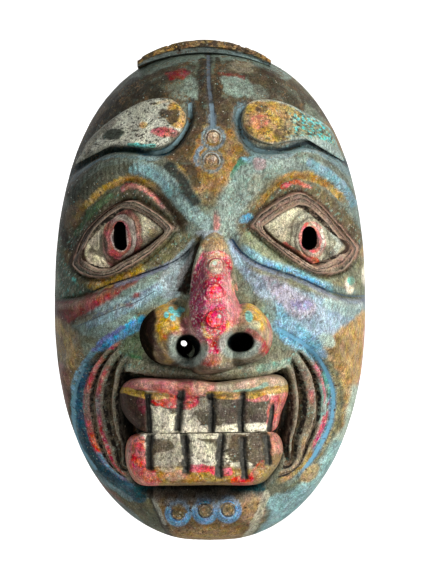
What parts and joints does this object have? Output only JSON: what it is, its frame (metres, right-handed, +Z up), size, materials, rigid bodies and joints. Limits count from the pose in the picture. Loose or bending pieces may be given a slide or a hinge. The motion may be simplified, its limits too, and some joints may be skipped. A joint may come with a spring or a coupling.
{
  "type": "carved wooden wall mask",
  "caption": "Hollow carved and painted wooden wall mask of a grimacing face with bared teeth, let-in nose, jaws, eyes and brows, and a hanger ring in the back rim.",
  "frame": {"origin": "centre of the open back, in the plane where the back rim rests on the wall, halfway between its sides and level with the middle of its height", "axes": "+X to the right of a person looking at the face, +Z up along the face, and the face looks along -Y, so the wall is on the +Y side"},
  "size_m": [0.188, 0.1112, 0.3],
  "materials": {
    "shell_paint": "weathered matte paint over carved wood",
    "nose_paint": "worn matte paint",
    "jaw_paint": "worn matte paint",
    "eye_paint": "worn matte paint",
    "brow_paint": "speckled matte paint",
    "crest_paint": "chipped gold-ochre paint",
    "peg_paint": "worn matte paint",
    "raw_wood": "bare wood",
    "old_brass": "dull brass",
    "screw_steel": "dull steel"
  },
  "bodies": {
    "mask": {"face_shell": "shell_paint", "nose_block": "nose_paint", "upper_jaw": "jaw_paint", "lower_jaw": "jaw_paint", "eye_left": "eye_paint", "eye_right": "eye_paint", "brow_left": "brow_paint", "brow_right": "brow_paint", "crest": "crest_paint", "nose_pegs": "peg_paint", "forehead_pegs": "peg_paint", "chin_pegs": "peg_paint", "jaw_dowels": "raw_wood", "crest_dowels": "raw_wood", "strap_lugs": "raw_wood", "hanger_plate": "old_brass", "hanger_screw": "screw_steel"},
    "hanger_ring": {"hanger_ring": "old_brass"}
  },
  "joints": [
    {"name": "hanger_swing", "type": "hinge", "parent": "mask", "child": "hanger_ring", "pos_m": [0, -0.00385, 0.128], "axis": [1, 0, 0], "range_deg": [0, 180]}
  ]
}
